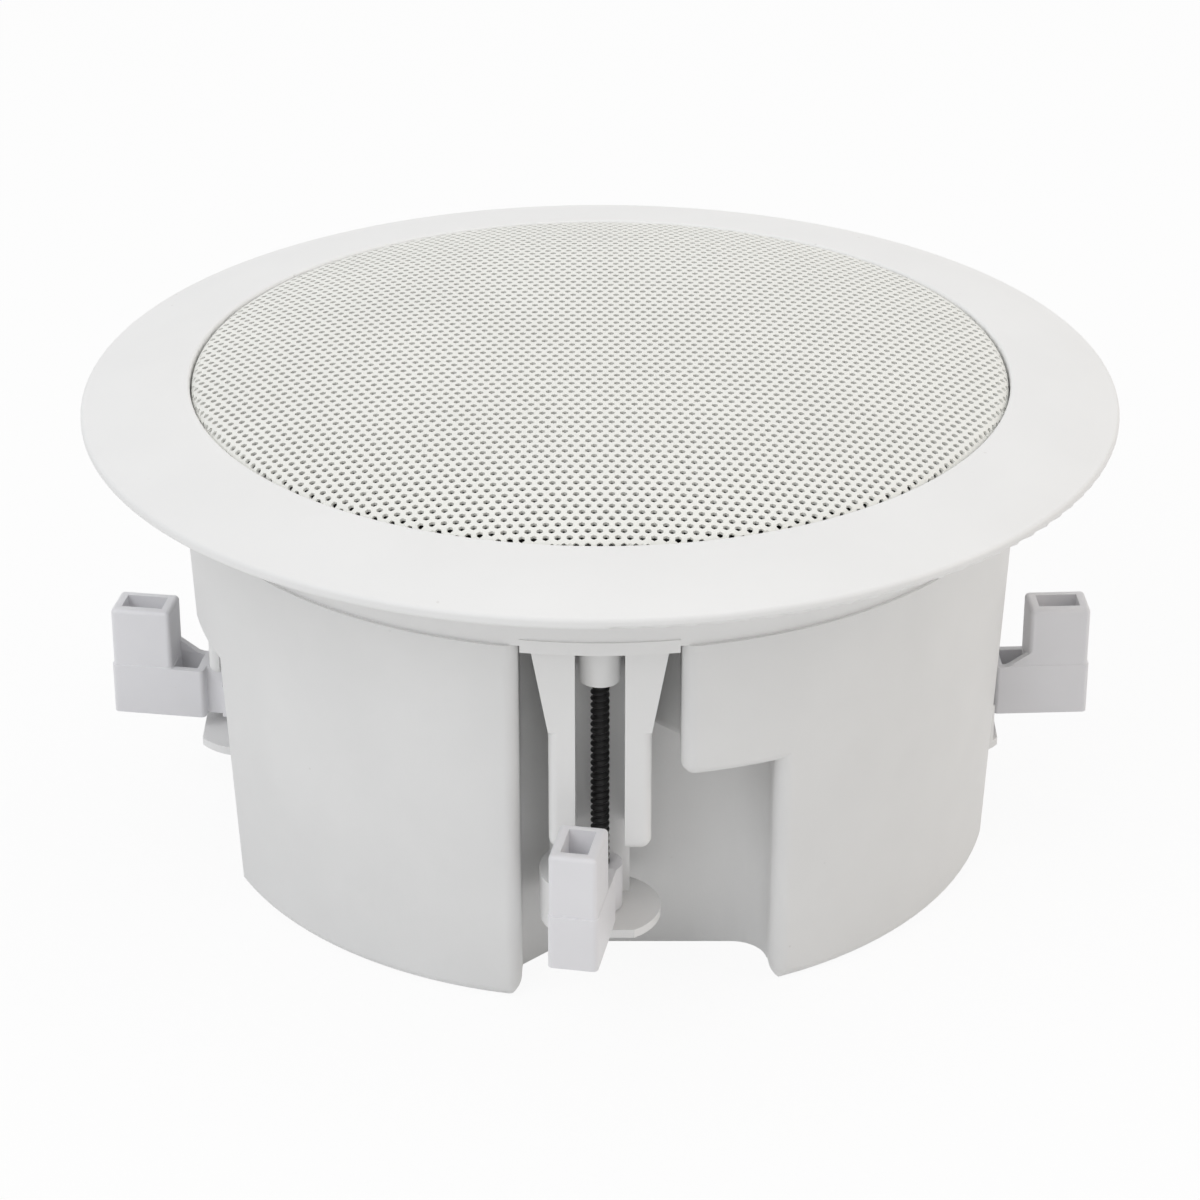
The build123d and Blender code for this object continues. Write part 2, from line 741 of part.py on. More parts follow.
# Spider: pleated disc from the basket's seat to the voice coil
with BuildPart() as spider:
    with BuildSketch(Plane.XZ):
        inner = coil_outer_radius + moving_gap
        pleat_count = 2 * spider_wave_count
        pleat = (spider_seat_radius - inner) / pleat_count
        pleats = [
            (inner + step * pleat, spider_seat + spider_wave * (step % 2)) for step in range(pleat_count + 1)
        ]
        seat = [(spider_outer_radius, spider_seat)]
        lower = pleats + seat
        upper = [(radius, height + spider_sheet) for radius, height in reversed(lower)]
        Polygon(*lower, *upper, align=None)
    revolve(axis=Axis.Z)
spider.part.label = "spider"
export_step(spider.part, "parts/spider.step")

# Motor: front plate, ring magnet, and back plate with its pole
plate_back = motor_front - plate_thickness
magnet_back = plate_back - magnet_thickness
with BuildPart() as top_plate:
    with BuildSketch(Plane.XY.offset(plate_back)):
        Circle(plate_radius)
        Circle(gap_radius, mode=Mode.SUBTRACT)
    extrude(amount=plate_thickness)
top_plate.part.label = "top_plate"
export_step(top_plate.part, "parts/top_plate.step")

with BuildPart() as magnet:
    with BuildSketch(Plane.XY.offset(magnet_back)):
        Circle(magnet_radius)
        Circle(magnet_hole_radius, mode=Mode.SUBTRACT)
    extrude(amount=magnet_thickness)
magnet.part.label = "magnet"
export_step(magnet.part, "parts/magnet.step")

with BuildPart() as back_plate:
    with BuildSketch(Plane.XY.offset(magnet_back)):
        Circle(plate_radius)
    extrude(amount=-plate_thickness)
    with BuildSketch(Plane.XY.offset(magnet_back)):
        Circle(pole_radius)
    extrude(amount=magnet_thickness + plate_thickness)
back_plate.part.label = "back_plate"
export_step(back_plate.part, "parts/back_plate.step")

# Solder tags under the spider's seat, above the terminal block
wiring_turn = radians(fixing_turn)
tag_top = spider_seat - basket_sheet
tag_plane = Plane(
    (tag_radius * cos(wiring_turn), tag_radius * sin(wiring_turn), tag_top),
    x_dir=(cos(wiring_turn), sin(wiring_turn), 0),
    z_dir=(0, 0, 1),
)
with BuildPart() as tag_strip:
    with BuildSketch(tag_plane):
        Rectangle(tag_strip_width, tag_strip_length)
    extrude(amount=-tag_strip_thickness)
tag_strip.part.label = "tag_strip"
export_step(tag_strip.part, "parts/tag_strip.step")

# Terminal block on the can's floor: a raised middle, a step each side and a partition
terminal_plane = Plane(
    (terminal_radius * cos(wiring_turn), terminal_radius * sin(wiring_turn), wall),
    x_dir=(cos(wiring_turn), sin(wiring_turn), 0),
    z_dir=(0, 0, 1),
)
terminal_spots = GridLocations(terminal_width - terminal_well, lead_spacing, 2, 2)
step_top = terminal_height - terminal_step_depth
with BuildPart() as terminal_block:
    with BuildSketch(terminal_plane):
        Rectangle(terminal_width, terminal_length)
    extrude(amount=terminal_height)
    with BuildSketch(terminal_plane.offset(terminal_height)):
        with terminal_spots:
            Rectangle(terminal_well, lead_spacing - wall / 2)
    extrude(amount=-terminal_step_depth, mode=Mode.SUBTRACT)
terminal_block.part.label = "terminal_block"
export_step(terminal_block.part, "parts/terminal_block.step")

# Screws of the terminal block
with BuildPart() as terminal_screws:
    with BuildSketch(terminal_plane.offset(step_top)):
        with terminal_spots:
            Circle(terminal_screw_radius)
    extrude(amount=terminal_screw_radius)
terminal_screws.part.label = "terminal_screws"
export_step(terminal_screws.part, "parts/terminal_screws.step")

# Two leads from the terminal block's top up to the solder tags
lead_start = wall + terminal_height
lead_end = tag_top - tag_strip_thickness
lead_rise = lead_end - lead_start
with BuildPart() as internal_leads:
    for side_step in (-lead_spacing / 2, lead_spacing / 2):
        lead_plane = Plane(
            (-side_step * sin(wiring_turn), side_step * cos(wiring_turn), 0),
            x_dir=(cos(wiring_turn), sin(wiring_turn), 0),
            z_dir=(sin(wiring_turn), -cos(wiring_turn), 0),
        )
        with BuildLine(lead_plane) as route:
            FilletPolyline(
                (terminal_radius, lead_start),
                (terminal_radius, lead_start + lead_rise / 3),
                (tag_radius, lead_end - lead_rise / 3),
                (tag_radius, lead_end),
                radius=lead_bend,
            )
        with BuildSketch(Plane(route.line @ 0, z_dir=route.line % 0)):
            Circle(lead_radius)
        sweep(path=route.line)
internal_leads.part.label = "internal_leads"
export_step(internal_leads.part, "parts/internal_leads.step")

# Rubber grommet in the can's side, with a flange on each face of the wall
grommet_tilt = grommet_flange_radius * tan(radians(can_draft))
grommet_outside = can_radius(grommet_height) + grommet_tilt
curve_drop = can_radius(grommet_height) - sqrt(can_radius(grommet_height) ** 2 - grommet_flange_radius**2)
grommet_inside = can_radius(grommet_height) - wall - grommet_tilt - curve_drop
with BuildPart() as cable_grommet:
    with BuildSketch(cable_plane.offset(grommet_inside - grommet_flange)):
        Circle(grommet_flange_radius)
    extrude(amount=grommet_flange)
    with BuildSketch(cable_plane.offset(grommet_inside)):
        Circle(grommet_hole_radius - running_gap)
    extrude(amount=grommet_outside - grommet_inside)
    with BuildSketch(cable_plane.offset(grommet_outside)):
        Circle(grommet_flange_radius)
    extrude(amount=grommet_flange)
    with BuildSketch(cable_plane.offset(grommet_inside - grommet_flange)):
        Circle(grommet_bore_radius)
    extrude(amount=grommet_outside - grommet_inside + 2 * grommet_flange, mode=Mode.SUBTRACT)
cable_grommet.part.label = "cable_grommet"
export_step(cable_grommet.part, "parts/cable_grommet.step")

# Screws that hold the driver to the baffle, and the can to the frame
small_head = (small_head_radius, small_head_height, small_head_rounding)
with BuildPart() as driver_screws:
    with Locations((0, 0, rim_front)):
        with driver_fixings():
            add(pan_screw(small_screw_radius, driver_screw_length, *small_head))
driver_screws.part.label = "driver_screws"
export_step(driver_screws.part, "parts/driver_screws.step")

with BuildPart() as can_screws:
    with Locations((0, 0, baffle_front)):
        with can_fixings():
            add(pan_screw(small_screw_radius, can_screw_length, *small_head))
can_screws.part.label = "can_screws"
export_step(can_screws.part, "parts/can_screws.step")
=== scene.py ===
"""Looks of a round in-ceiling speaker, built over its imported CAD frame.

Everything is in metres and in the frame's own axes: the origin is the centre of the can's base, +Z points
to the grille and the first clamp faces -Y, towards the camera.
"""
import logging
import math
from contextlib import contextmanager
from dataclasses import dataclass
from enum import Enum
from typing import Callable, Iterator

import bpy
import numpy as np
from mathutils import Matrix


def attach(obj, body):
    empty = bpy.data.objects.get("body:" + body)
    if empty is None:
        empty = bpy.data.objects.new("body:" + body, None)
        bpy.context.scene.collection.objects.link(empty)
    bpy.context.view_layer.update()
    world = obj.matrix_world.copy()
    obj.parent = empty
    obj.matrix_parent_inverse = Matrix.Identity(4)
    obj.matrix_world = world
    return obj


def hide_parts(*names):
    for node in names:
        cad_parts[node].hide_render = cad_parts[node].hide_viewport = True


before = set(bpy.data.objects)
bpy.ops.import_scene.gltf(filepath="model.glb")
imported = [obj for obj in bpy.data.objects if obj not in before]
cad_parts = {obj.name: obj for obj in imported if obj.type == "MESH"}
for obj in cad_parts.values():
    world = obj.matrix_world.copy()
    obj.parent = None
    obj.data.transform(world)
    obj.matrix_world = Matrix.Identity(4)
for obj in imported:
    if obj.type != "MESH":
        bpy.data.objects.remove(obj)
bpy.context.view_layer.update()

log = logging.getLogger("speaker")

MM = 0.001
Colour = tuple[float, float, float]
Place = tuple[float, float, float]
WHITE = (1.0, 1.0, 1.0, 1.0)


class Slot(Enum):
    """The record's material slots."""

    FRAME = "frame_plastic"
    GRILLE = "grille_paint"
    CAN = "can_plastic"
    DOG = "dog_plastic"
    BLACK_STEEL = "black_steel"
    PLATED_STEEL = "plated_steel"
    CLOTH = "grille_cloth"
    BASKET = "basket_paint"
    FOAM = "foam"
    RUBBER = "rubber"
    CONE = "cone_paper"
    SPIDER = "spider_cloth"
    COIL = "coil_aluminium"
    FERRITE = "ferrite"
    TERMINAL = "terminal_plastic"
    BRASS = "brass"
    LEAD = "lead_cover"


class Relief(Enum):
    """What raises and lowers a surface."""

    SPARKED = "grain of a spark-eroded mould"
    SPRAYED = "orange peel of a powder coat"
    WOVEN = "crossing threads"
    PRESSED = "felted fibres"
    TURNED = "rings left by a lathe"
    SINTERED = "coarse fired grain"


class Signal:
    """One shader value, with arithmetic that adds Math nodes."""

    def __init__(self, sheet: "NodeSheet", socket: bpy.types.NodeSocket) -> None:
        """Keeps the sheet that the value is on and the socket that it comes from."""
        self.sheet = sheet
        self.socket = socket

    def _math(self, operation: str, *terms: "Link") -> "Signal":
        """Adds one Math node on these terms."""
        sockets = dict(enumerate(terms))
        return self.sheet.node("ShaderNodeMath", {"operation": operation}, sockets)

    def __add__(self, other: "Link") -> "Signal":
        """Sum."""
        return self._math("ADD", self, other)

    def __sub__(self, other: "Link") -> "Signal":
        """Difference."""
        return self._math("SUBTRACT", self, other)

    def __rsub__(self, other: "Link") -> "Signal":
        """Difference from a number."""
        return self._math("SUBTRACT", other, self)

    def __mul__(self, other: "Link") -> "Signal":
        """Product."""
        return self._math("MULTIPLY", self, other)

    def __abs__(self) -> "Signal":
        """Size without its sign."""
        return self._math("ABSOLUTE", self)

    def sine(self) -> "Signal":
        """Sine of an angle in radians."""
        return self._math("SINE", self)

    def at_least(self, other: "Link") -> "Signal":
        """The higher of two values."""
        return self._math("MAXIMUM", self, other)

    def ramp(self, low: float, high: float) -> "Signal":
        """A smooth step from 0 at one value to 1 at another.

        Args:
            low: Value where the step starts.
            high: Value where the step ends.

        Returns:
            The step as a value from 0 to 1.
        """
        settings = {"interpolation_type": "SMOOTHSTEP"}
        sockets = {"Value": self, "From Min": low, "From Max": high}
        return self.sheet.node("ShaderNodeMapRange", settings, sockets)


Link = Signal | float | int | tuple


class NodeSheet:
    """The node tree of one material or world."""

    def __init__(self, tree: bpy.types.NodeTree) -> None:
        """Starts from an empty tree."""
        self.tree = tree
        tree.nodes.clear()

    @staticmethod
    def _find(sockets: bpy.types.bpy_prop_collection, key: str | int) -> bpy.types.NodeSocket:
        """Finds a socket by its number, its identifier or its name."""
        if isinstance(key, int):
            return sockets[key]
        named = [socket for socket in sockets if socket.identifier == key]
        return named[0] if named else sockets[key]

    def node(self, kind: str, settings: dict, sockets: dict, output: str | int = 0) -> Signal:
        """Adds a node, sets it up and fills its sockets.

        Args:
            kind: Blender's type name of the node.
            settings: Properties of the node, set first.
            sockets: Values or links of its input sockets.
            output: The output socket to go on from.

        Returns:
            The output as a value.
        """
        made = self.tree.nodes.new(kind)
        for name, value in settings.items():
            setattr(made, name, value)
        for key, value in sockets.items():
            socket = self._find(made.inputs, key)
            if isinstance(value, Signal):
                self.tree.links.new(value.socket, socket)
            else:
                socket.default_value = value
        if not made.outputs:
            return Signal(self, made.inputs[0])
        return Signal(self, self._find(made.outputs, output))

    def mixed(self, share: Link, first: Link, second: Link) -> Signal:
        """A colour between two others.

        Args:
            share: How much of the second colour shows, from 0 to 1.
            first: The colour at 0.
            second: The colour at 1.

        Returns:
            The mixed colour.
        """
        sockets = {"Factor_Float": share, "A_Color": first, "B_Color": second}
        return self.node("ShaderNodeMix", {"data_type": "RGBA"}, sockets, "Result_Color")

    def noise(self, place: Signal, size: float, detail: float = 2.0) -> Signal:
        """Soft noise over the object.

        Args:
            place: Object coordinates.
            size: Size of a blot in metres.
            detail: Octaves of finer noise on top.

        Returns:
            A value round 0.5.
        """
        sockets = {"Vector": place, "Scale": 1 / size, "Detail": detail}
        return self.node("ShaderNodeTexNoise", {}, sockets)


@dataclass(frozen=True)
class Finish:
    """How one material looks: its colour, its gloss and the relief on it."""

    slot: Slot
    colour: Colour
    roughness: float
    relief: Relief
    grain: float
    height: float
    metallic: float = 0.0
    mottle: float = 0.03
    specks: float = 0.0
    specular: float = 0.5
    cloud_grains: float = 60.0
    cloud_ramp: tuple[float, float] = (0.25, 0.75)
    cloud_gloss: float = 4.0
    grain_gloss: float = 0.08
    least_roughness: float = 0.05
    mark_spacing: float = 9 * MM
    mark_ramp: tuple[float, float] = (0.02, 0.055)
    patch_size: float = 35 * MM
    patch_ramp: tuple[float, float] = (0.5, 0.68)
    mark_colour: Colour = (0.32, 0.29, 0.24)

    def build(self) -> bpy.types.Material:
        """Makes the material.

        Returns:
            A material named after the slot.
        """
        material = bpy.data.materials.new(self.slot.value)
        material.use_nodes = True
        sheet = NodeSheet(material.node_tree)
        place = sheet.node("ShaderNodeTexCoord", {}, {}, "Object")
        texture = self._relief(sheet, place)
        cloud = sheet.noise(place, self.cloud_grains * self.grain, 3.0)
        shaded = tuple(channel * (1 - self.mottle * 2) for channel in self.colour)
        lifted = tuple(min(channel * (1 + self.mottle), 1.0) for channel in self.colour)
        colour = sheet.mixed(cloud.ramp(*self.cloud_ramp), (*shaded, 1.0), (*lifted, 1.0))
        if self.specks:
            colour = self._specked(sheet, place, colour)
        cloudy = (cloud - 0.5) * (self.cloud_gloss * self.mottle)
        gloss = cloudy + (texture - 0.5) * self.grain_gloss + self.roughness
        bump = sheet.node(
            "ShaderNodeBump", {}, {"Strength": 1.0, "Distance": self.height, "Height": texture}, "Normal"
        )
        shader = sheet.node(
            "ShaderNodeBsdfPrincipled",
            {},
            {
                "Base Color": colour,
                "Roughness": gloss.at_least(self.least_roughness),
                "Metallic": self.metallic,
                "Specular IOR Level": self.specular,
                "Normal": bump,
            },
        )
        sheet.node("ShaderNodeOutputMaterial", {}, {"Surface": shader})
        return material

    def _relief(self, sheet: NodeSheet, place: Signal) -> Signal:
        """Height of the surface's own texture.

        Args:
            sheet: The tree to add to.
            place: Object coordinates.

        Returns:
            A height from about 0 to 1.
        """
        makers: dict[Relief, Callable[[NodeSheet, Signal], Signal]] = {
            Relief.SPARKED: self._sparked,
            Relief.SPRAYED: self._sprayed,
            Relief.WOVEN: self._woven,
            Relief.PRESSED: self._pressed,
            Relief.TURNED: self._turned,
            Relief.SINTERED: self._sintered,
        }
        return makers[self.relief](sheet, place)

    def _sparked(self, sheet: NodeSheet, place: Signal) -> Signal:
        """Fine grain over faint slow waves, as a mould leaves on plastic."""
        fine, slow, wave_grains = 0.8, 0.6, 14
        waves = sheet.noise(place, wave_grains * self.grain, 1.0)
        return sheet.noise(place, self.grain, 3.0) * fine + waves * slow

    def _sprayed(self, sheet: NodeSheet, place: Signal) -> Signal:
        """Round soft bumps of a coat that ran together."""
        sockets = {"Vector": place, "Scale": 1 / self.grain, "Smoothness": 1.0}
        cells = sheet.node("ShaderNodeTexVoronoi", {"feature": "SMOOTH_F1"}, sockets, "Distance")
        round_share, dust_share = 0.8, 0.2
        return 1 - cells * round_share + sheet.noise(place, self.grain / 3) * dust_share

    def _woven(self, sheet: NodeSheet, place: Signal) -> Signal:
        """Threads over and under, two ways across."""
        axes = sheet.node("ShaderNodeSeparateXYZ", {}, {"Vector": place}, "X").socket.node.outputs
        turn = math.pi / self.grain
        warp = (Signal(sheet, axes["X"]) * turn).sine()
        weft = (Signal(sheet, axes["Y"]) * turn).sine()
        thread_share, fluff_share = 0.8, 0.2
        return abs(warp * weft) * thread_share + sheet.noise(place, self.grain / 4) * fluff_share

    def _pressed(self, sheet: NodeSheet, place: Signal) -> Signal:
        """Short fibres felted together."""
        sockets = {"Vector": place, "Scale": 1 / self.grain, "Detail": 4.0, "Distortion": 2.5}
        return sheet.node("ShaderNodeTexNoise", {}, sockets)

    def _turned(self, sheet: NodeSheet, place: Signal) -> Signal:
        """Fine rings along Z with a little noise."""
        height = sheet.node("ShaderNodeSeparateXYZ", {}, {"Vector": place}, "Z")
        rings = (height * (2 * math.pi / self.grain)).sine()
        ring_share, noise_share, middle = 0.3, 0.4, 0.3
        return rings * ring_share + sheet.noise(place, 3 * self.grain) * noise_share + middle

    def _sintered(self, sheet: NodeSheet, place: Signal) -> Signal:
        """Grains of two sizes."""
        fine, coarse = 0.7, 0.3
        return sheet.noise(place, self.grain, 5.0) * fine + sheet.noise(place, 5 * self.grain) * coarse

    def _specked(self, sheet: NodeSheet, place: Signal, colour: Signal) -> Signal:
        """Puts sparse handling marks over a pale colour.

        Args:
            sheet: The tree to add to.
            place: Object coordinates.
            colour: The colour below.

        Returns:
            The colour with its marks.
        """
        sockets = {"Vector": place, "Scale": 1 / self.mark_spacing, "Randomness": 1.0}
        spot = sheet.node("ShaderNodeTexVoronoi", {}, sockets, "Distance")
        patchy = sheet.noise(place, self.patch_size).ramp(*self.patch_ramp)
        mark = (1 - spot.ramp(*self.mark_ramp)) * patchy * self.specks
        return sheet.mixed(mark, colour, (*self.mark_colour, 1.0))


FINISHES: tuple[Finish, ...] = (
    Finish(
        Slot.FRAME, (0.885, 0.885, 0.88), 0.42, Relief.SPARKED, 0.45 * MM,
        0.02 * MM, mottle=0.008, specks=0.25,
    ),
    Finish(Slot.GRILLE, (0.9, 0.9, 0.862), 0.48, Relief.SPRAYED, 0.5 * MM, 0.03 * MM, mottle=0.01),
    Finish(
        Slot.CAN, (0.83, 0.83, 0.825), 0.5, Relief.SPARKED, 0.55 * MM, 0.03 * MM, mottle=0.015, specks=0.35
    ),
    Finish(
        Slot.DOG, (0.845, 0.84, 0.862), 0.45, Relief.SPARKED, 0.4 * MM, 0.02 * MM, mottle=0.012, specks=0.6
    ),
    Finish(
        Slot.BLACK_STEEL, (0.012, 0.012, 0.012), 0.38, Relief.TURNED, 0.35 * MM,
        0.01 * MM, metallic=0.35, mottle=0.1,
    ),
    Finish(
        Slot.PLATED_STEEL, (0.6, 0.6, 0.57), 0.3, Relief.TURNED, 0.3 * MM,
        0.01 * MM, metallic=1.0, mottle=0.08,
    ),
    Finish(
        Slot.CLOTH, (0.016, 0.016, 0.015), 0.9, Relief.WOVEN, 0.6 * MM, 0.12 * MM, mottle=0.1, specular=0.2
    ),
    Finish(Slot.BASKET, (0.02, 0.02, 0.02), 0.45, Relief.SPRAYED, 0.6 * MM, 0.04 * MM, mottle=0.08),
    Finish(
        Slot.FOAM, (0.02, 0.02, 0.022), 0.95, Relief.SINTERED, 0.5 * MM, 0.15 * MM, mottle=0.1, specular=0.2
    ),
    Finish(Slot.RUBBER, (0.016, 0.016, 0.016), 0.6, Relief.SPARKED, 0.4 * MM, 0.03 * MM, mottle=0.08),
    Finish(Slot.CONE, (0.03, 0.029, 0.028), 0.85, Relief.PRESSED, 1.2 * MM, 0.1 * MM, mottle=0.15),
    Finish(Slot.SPIDER, (0.42, 0.26, 0.07), 0.8, Relief.WOVEN, 0.8 * MM, 0.2 * MM, mottle=0.1),
    Finish(
        Slot.COIL, (0.72, 0.72, 0.72), 0.35, Relief.TURNED, 0.3 * MM, 0.02 * MM, metallic=1.0, mottle=0.05
    ),
    Finish(Slot.FERRITE, (0.035, 0.035, 0.036), 0.75, Relief.SINTERED, 0.4 * MM, 0.06 * MM, mottle=0.12),
    Finish(Slot.TERMINAL, (0.02, 0.02, 0.02), 0.5, Relief.SPARKED, 0.4 * MM, 0.03 * MM, mottle=0.08),
    Finish(
        Slot.BRASS, (0.62, 0.43, 0.15), 0.3, Relief.TURNED, 0.25 * MM, 0.01 * MM, metallic=1.0, mottle=0.08
    ),
    Finish(Slot.LEAD, (0.3, 0.012, 0.012), 0.4, Relief.SPARKED, 0.5 * MM, 0.02 * MM, mottle=0.06),
)

CAD_FINISHES: dict[str, Slot] = {
    "front_frame": Slot.FRAME,
    "driver_basket": Slot.BASKET,
    "driver_gasket": Slot.FOAM,
    "surround": Slot.RUBBER,
    "cone": Slot.CONE,
    "dust_cap": Slot.CONE,
    "voice_coil": Slot.COIL,
    "spider": Slot.SPIDER,
    "top_plate": Slot.PLATED_STEEL,
    "magnet": Slot.FERRITE,
    "back_plate": Slot.PLATED_STEEL,
    "tag_strip": Slot.TERMINAL,
    "terminal_block": Slot.TERMINAL,
    "terminal_screws": Slot.BRASS,
    "internal_leads": Slot.LEAD,
    "cable_grommet": Slot.RUBBER,
    "driver_screws": Slot.BLACK_STEEL,
    "can_screws": Slot.BLACK_STEEL,
}


class Wardrobe:
    """Every finish of the speaker, made once."""

    def __init__(self) -> None:
        """Builds the materials."""
        self.materials = {finish.slot: finish.build() for finish in FINISHES}

    def dress(self, piece: bpy.types.Object, slot: Slot) -> None:
        """Gives a piece its only material.

        Args:
            piece: The object to dress.
            slot: The finish that it gets.
        """
        piece.data.materials.clear()
        piece.data.materials.append(self.materials[slot])


class Bench:
    """Steps of modelling by hand that every new piece shares."""

    SPUN_WELD = MM / 500
    NODE_WELD = MM / 1000
    FLAT_ANGLE = math.radians(1.5)

    @staticmethod
    def take(piece: bpy.types.Object) -> None:
        """Makes a piece the only selected object, and the active one."""
        bpy.ops.object.select_all(action="DESELECT")
        piece.select_set(True)
        bpy.context.view_layer.objects.active = piece

    @staticmethod
    def fresh(name: str) -> bpy.types.Object:
        """Names the object that an operator has just added."""
        piece = bpy.context.active_object
        piece.name = piece.data.name = name
        return piece

    @classmethod
    @contextmanager
    def editing(cls, piece: bpy.types.Object, mode: str = "VERT") -> Iterator[None]:
        """Holds a piece in edit mode.

        Args:
            piece: The piece to edit.
            mode: What is selected in it: VERT, EDGE or FACE.

        Returns:
            A context in which the piece is in edit mode.
        """
        cls.take(piece)
        bpy.ops.object.mode_set(mode="EDIT")
        bpy.ops.mesh.select_mode(type=mode)
        yield
        bpy.ops.object.mode_set(mode="OBJECT")

    @staticmethod
    def points(piece: bpy.types.Object) -> np.ndarray:
        """The places of a piece's vertices, one row each."""
        places = np.zeros(3 * len(piece.data.vertices))
        piece.data.vertices.foreach_get("co", places)
        return places.reshape(-1, 3)

    @staticmethod
    def move_points(piece: bpy.types.Object, places: np.ndarray) -> None:
        """Puts a piece's vertices at new places."""
        piece.data.vertices.foreach_set("co", places.ravel())
        piece.data.update()

    @staticmethod
    def pick(piece: bpy.types.Object, vertices: np.ndarray) -> None:
        """Selects some vertices, edges or faces of a piece from object mode.

        Args:
            piece: The piece to select in.
            vertices: True for each vertex that is picked. Edges and faces whose corners are all picked
                are picked with them.
        """
        mesh = piece.data
        mesh.vertices.foreach_set("select", vertices)
        ends = np.zeros(2 * len(mesh.edges), dtype=np.int64)
        mesh.edges.foreach_get("vertices", ends)
        mesh.edges.foreach_set("select", vertices[ends.reshape(-1, 2)].all(axis=1))
        faces = [bool(vertices[list(face.vertices)].all()) for face in mesh.polygons]
        mesh.polygons.foreach_set("select", faces)

    @classmethod
    def modify(cls, piece: bpy.types.Object, kind: str, **settings: object) -> None:
        """Adds a modifier, sets it up and applies it.

        Args:
            piece: The piece to change.
            kind: Blender's type name of the modifier.
            settings: Properties of the modifier.
        """
        cls.take(piece)
        modifier = piece.modifiers.new(kind.lower(), kind)
        for name, value in settings.items():
            setattr(modifier, name, value)
        bpy.ops.object.modifier_apply(modifier=modifier.name)

    @classmethod
    def smooth(cls, piece: bpy.types.Object, degrees: float) -> None:
        """Shades a piece smooth except over sharp edges."""
        cls.take(piece)
        bpy.ops.object.shade_smooth_by_angle(angle=math.radians(degrees))

    @classmethod
    def spun(cls, name: str, section: list[tuple[float, float]], steps: int) -> bpy.types.Object:
        """Turns a section round Z into a closed piece.

        Args:
            name: Name of the piece.
            section: Radius and height of each point, from one end on the axis to the other.
            steps: Steps in a full turn.

        Returns:
            The turned piece.
        """
        bpy.ops.object.select_all(action="DESELECT")
        bpy.ops.mesh.primitive_plane_add(size=MM)
        piece = cls.fresh(name)
        with cls.editing(piece):
            bpy.ops.mesh.select_all(action="SELECT")
            bpy.ops.mesh.merge(type="CENTER")
            previous = (0.0, 0.0)
            for number, point in enumerate(section):
                step = (point[0] - previous[0], 0, point[1] - previous[1])
                if number == 0:
                    bpy.ops.transform.translate(value=step)
                else:
                    bpy.ops.mesh.extrude_vertices_move(TRANSFORM_OT_translate={"value": step})
                previous = point
            bpy.ops.mesh.select_all(action="SELECT")
            bpy.ops.mesh.spin(steps=steps, angle=math.tau, center=(0, 0, 0), axis=(0, 0, 1))
            bpy.ops.mesh.select_all(action="SELECT")
            bpy.ops.mesh.remove_doubles(threshold=cls.SPUN_WELD)
            bpy.ops.mesh.normals_make_consistent(inside=False)
        return piece

    @classmethod
    def from_node(cls, node: str, name: str) -> bpy.types.Object:
        """Copies a CAD node's mesh as one joined skin with no needless edges.

        Args:
            node: Name of the CAD node.
            name: Name of the copy.

        Returns:
            The copy.
        """
        piece = bpy.data.objects.new(name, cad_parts[node].data.copy())
        bpy.context.scene.collection.objects.link(piece)
        with cls.editing(piece):
            bpy.ops.mesh.customdata_custom_splitnormals_clear()
            bpy.ops.mesh.select_all(action="SELECT")
            bpy.ops.mesh.remove_doubles(threshold=cls.NODE_WELD)
            bpy.ops.mesh.dissolve_limited(angle_limit=cls.FLAT_ANGLE)
        return piece

    @classmethod
    def copied(cls, piece: bpy.types.Object, name: str, turn: float) -> bpy.types.Object:
        """Copies a piece round Z, with a mesh of its own and its place in that mesh.

        Args:
            piece: The piece to copy.
            name: Name of the copy.
            turn: Angle round Z in radians.

        Returns:
            The copy.
        """
        cls.take(piece)
        bpy.ops.object.duplicate(linked=False)
        copy = cls.fresh(name)
        copy.rotation_euler.z = turn
        bpy.ops.object.transform_apply(location=True, rotation=True, scale=True)
        return copy


